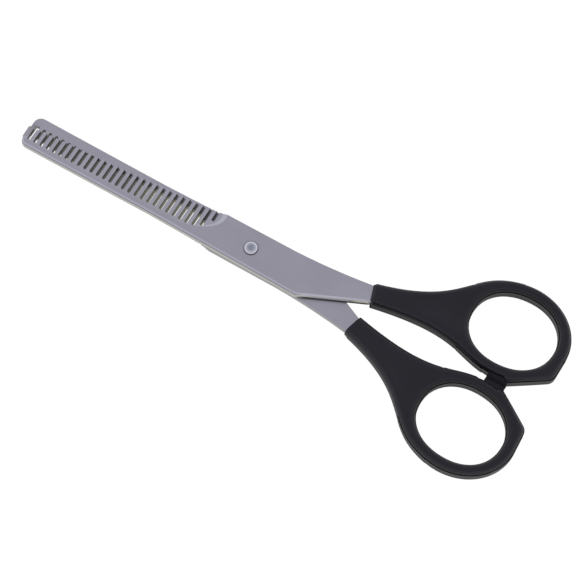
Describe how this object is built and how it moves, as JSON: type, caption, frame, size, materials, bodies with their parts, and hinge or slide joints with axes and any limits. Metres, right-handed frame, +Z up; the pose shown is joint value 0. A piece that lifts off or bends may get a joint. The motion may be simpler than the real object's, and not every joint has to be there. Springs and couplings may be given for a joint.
{
  "type": "thinning shears",
  "caption": "Slim double-toothed hair thinning shears with a plain rivet pivot, moulded finger rings and stop pads, shown closed.",
  "frame": {"origin": "centre of the bounding box's bottom face, on the surface that the shears lie on", "axes": "+X along the shears from the blade tips to the finger rings, +Y to the front handle's side, +Z up along the hinge, out of the rivet's head"},
  "size_m": [0.171, 0.0606, 0.007],
  "materials": {
    "blade_steel": "satin ground stainless steel",
    "rivet_steel": "polished steel",
    "handle_plastic": "moulded plastic with a low sheen",
    "pad_rubber": "dull soft plastic"
  },
  "bodies": {
    "rear_half": {"rear_blade": "blade_steel", "rear_handle": "handle_plastic", "rear_stop_pad": "pad_rubber", "pivot_rivet": "rivet_steel", "rivet_washer": "rivet_steel"},
    "front_half": {"front_blade": "blade_steel", "front_handle": "handle_plastic", "front_stop_pad": "pad_rubber"}
  },
  "joints": [
    {"name": "pivot", "type": "hinge", "parent": "rear_half", "child": "front_half", "pos_m": [-0.009, 0, 0.0035], "axis": [0, 0, 1], "range_deg": [0, 90]}
  ]
}
